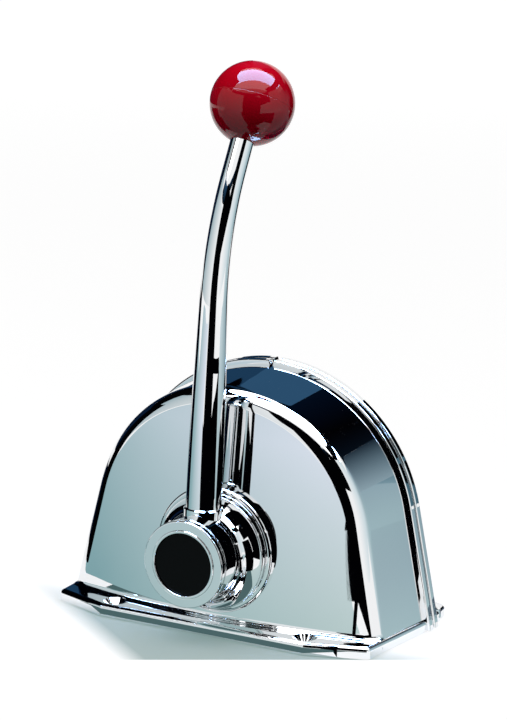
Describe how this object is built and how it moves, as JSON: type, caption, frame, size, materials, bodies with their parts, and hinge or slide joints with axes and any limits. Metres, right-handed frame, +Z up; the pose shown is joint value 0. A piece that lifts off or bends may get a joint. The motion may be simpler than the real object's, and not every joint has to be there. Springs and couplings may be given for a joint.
{
  "type": "boat throttle control lever",
  "caption": "Single-lever boat engine control: chrome two-half D-shaped housing on a screwed flange, tapered bent lever with a red ball knob, push button in the hub and gear-driven cable arms.",
  "frame": {"origin": "centre of the four deck screws, on the deck surface under the flange", "axes": "+Z up from the deck, +X ahead along the housing, -Y towards the lever's side"},
  "size_m": [0.2, 0.1342, 0.2984],
  "materials": {
    "chrome_housing": "bright chrome plate on die-cast zinc",
    "chrome_lever": "bright chrome plate on brass",
    "chrome_hub": "bright chrome plate on die-cast zinc",
    "chrome_bezel": "polished chrome ring",
    "red_knob": "deep red, high gloss",
    "black_button": "black, satin gloss",
    "steel_screws": "stainless, machined",
    "spring_steel": "bright spring steel",
    "shaft_steel": "ground stainless steel",
    "brass": "machined brass",
    "bearing_bronze": "sintered bronze",
    "gear_steel": "zinc-plated steel",
    "plate_zinc": "zinc-plated sheet steel",
    "bracket_aluminium": "cast and machined aluminium",
    "nylon": "natural nylon"
  },
  "bodies": {
    "housing": {"front_shell": "chrome_housing", "rear_shell": "chrome_housing", "shell_screws": "steel_screws", "plate_posts": "bracket_aluminium", "front_bearing": "bearing_bronze", "thrust_washer": "nylon", "rear_bearing": "bearing_bronze", "mechanism_plate": "plate_zinc", "plate_screws": "steel_screws", "shift_stud": "shaft_steel", "throttle_stud": "shaft_steel", "stud_clips": "spring_steel", "cable_bracket": "bracket_aluminium", "cable_clamps": "bracket_aluminium", "clamp_screws": "steel_screws", "friction_shoe": "nylon", "friction_spring": "spring_steel", "friction_screw": "steel_screws"},
    "lever_arm": {"hub": "chrome_hub", "hub_set_screws": "steel_screws", "lever": "chrome_lever", "knob": "red_knob", "knob_insert": "brass", "button_bezel": "chrome_bezel", "button_spring": "spring_steel", "drive_shaft": "shaft_steel", "shaft_ring": "spring_steel", "drive_gear": "gear_steel", "gear_key": "shaft_steel"},
    "push_button": {"hub_button": "black_button", "button_clip": "spring_steel"},
    "shift_drive": {"shift_gear": "gear_steel", "shift_arm": "plate_zinc"},
    "throttle_drive": {"throttle_gear": "gear_steel", "throttle_arm": "plate_zinc"},
    "shift_cable_pivot": {"shift_pivot": "brass", "shift_pivot_clip": "spring_steel"},
    "throttle_cable_pivot": {"throttle_pivot": "brass", "throttle_pivot_clip": "spring_steel"}
  },
  "joints": [
    {"name": "lever_swing", "type": "hinge", "parent": "housing", "child": "lever_arm", "pos_m": [0, 0, 0.0432], "axis": [0, 1, 0], "range_deg": [-80, 80]},
    {"name": "button_push", "type": "slide", "parent": "lever_arm", "child": "push_button", "axis": [0, 1, 0], "range_m": [0, 0.005], "stiffness_N_per_m": 600, "springref_m": -0.003, "deforming": ["button_spring"]},
    {"name": "shift_turn", "type": "hinge", "parent": "housing", "child": "shift_drive", "pos_m": [0.03807, 0, 0.06095], "axis": [0, 1, 0], "range_deg": [-62, 62]},
    {"name": "throttle_turn", "type": "hinge", "parent": "housing", "child": "throttle_drive", "pos_m": [-0.03807, 0, 0.06095], "axis": [0, 1, 0], "range_deg": [-62, 62]},
    {"name": "shift_pivot_turn", "type": "hinge", "parent": "shift_drive", "child": "shift_cable_pivot", "pos_m": [0.07007, -0.0192, 0.06095], "axis": [0, 1, 0], "range_deg": [-70, 70]},
    {"name": "throttle_pivot_turn", "type": "hinge", "parent": "throttle_drive", "child": "throttle_cable_pivot", "pos_m": [-0.07007, -0.0192, 0.06095], "axis": [0, 1, 0], "range_deg": [-70, 70]}
  ],
  "couplings": [
    {"joint": "shift_turn", "follows": "lever_swing", "ratio": -0.75},
    {"joint": "throttle_turn", "follows": "lever_swing", "ratio": -0.75}
  ]
}
